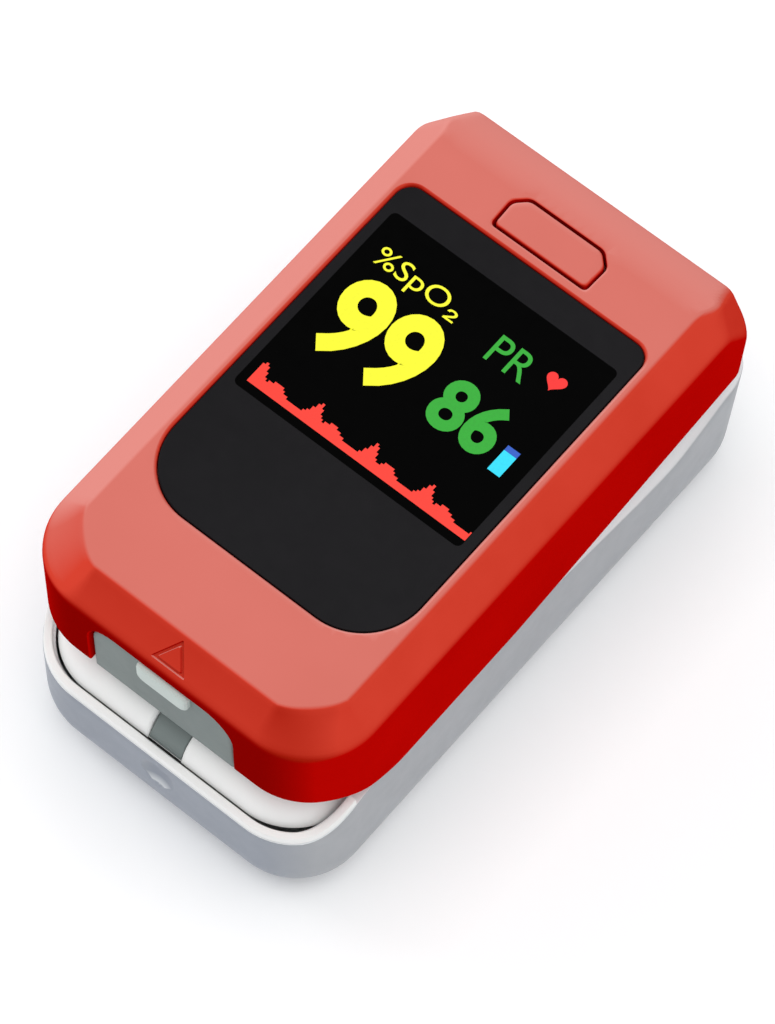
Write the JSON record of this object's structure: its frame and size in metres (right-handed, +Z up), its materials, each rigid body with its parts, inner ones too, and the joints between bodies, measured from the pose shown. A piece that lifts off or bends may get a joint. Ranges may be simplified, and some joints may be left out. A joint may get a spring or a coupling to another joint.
{
  "type": "fingertip pulse oximeter",
  "caption": "Fingertip pulse oximeter: a sprung clip with a display and a power button on top, a silicone-lined finger channel, and a sliding battery door underneath.",
  "frame": {"origin": "middle of the footprint, on the surface that the clip stands on", "axes": "+Y runs from the finger mouth to the hinge end, +X is to the right seen from the mouth, +Z is up"},
  "size_m": [0.036, 0.0656, 0.03],
  "materials": {
    "cover_plastic": "satin",
    "button_plastic": "satin",
    "window_plastic": "gloss",
    "display_panel": "gloss",
    "circuit_board": "satin",
    "black_plastic": "matte",
    "steel": "satin",
    "shell_plastic": "satin",
    "frame_plastic": "satin",
    "silicone": "matte",
    "tab_plastic": "satin",
    "clear_plastic": "gloss",
    "cell_sleeve": "satin",
    "ribbon_film": "satin"
  },
  "bodies": {
    "lower_half": {"bottom_shell": "shell_plastic", "lower_frame": "frame_plastic", "lower_finger_pad": "silicone", "sensor_board": "circuit_board", "photodiode": "black_plastic", "sensor_window": "clear_plastic", "battery_cell_left": "cell_sleeve", "battery_cell_right": "cell_sleeve", "contact_spring_left": "steel", "contact_spring_right": "steel", "contact_plate_left": "steel", "contact_plate_right": "steel", "contact_link_plate": "steel", "hinge_pin": "steel", "torsion_spring_left": "steel", "torsion_spring_right": "steel", "flex_cable": "ribbon_film", "shell_screw_1": "steel", "shell_screw_2": "steel"},
    "upper_half": {"top_cover": "cover_plastic", "display_window": "window_plastic", "display_panel": "display_panel", "display_ribbon": "ribbon_film", "display_socket": "black_plastic", "main_board": "circuit_board", "controller_chip": "black_plastic", "amplifier_chip": "black_plastic", "clock_crystal": "steel", "cable_socket": "black_plastic", "tact_switch": "black_plastic", "upper_frame": "frame_plastic", "upper_finger_pad": "silicone", "mouth_tab": "tab_plastic", "emitter_board": "circuit_board", "emitter_led": "clear_plastic", "emitter_window": "clear_plastic", "emitter_ribbon": "ribbon_film", "cover_screw_1": "steel", "cover_screw_2": "steel", "cover_screw_3": "steel", "cover_screw_4": "steel"},
    "power_button": {"power_button": "button_plastic", "switch_plunger": "black_plastic"},
    "battery_door": {"battery_door": "shell_plastic"}
  },
  "joints": [
    {"name": "clip_hinge", "type": "hinge", "parent": "lower_half", "child": "upper_half", "pos_m": [0, 0.012, 0.0173], "axis": [-1, 0, 0], "range_deg": [0, 10], "stiffness_Nm_per_rad": 0.23, "springref_deg": -9.97, "deforming": ["torsion_spring_left", "torsion_spring_right", "flex_cable"]},
    {"name": "power_button_press", "type": "slide", "parent": "upper_half", "child": "power_button", "axis": [0, 0, -1], "range_m": [0, 0.0004], "stiffness_N_per_m": 1000, "springref_m": -0.0005},
    {"name": "battery_door_slide", "type": "slide", "parent": "lower_half", "child": "battery_door", "axis": [0, 1, 0], "range_m": [0, 0.055]}
  ]
}
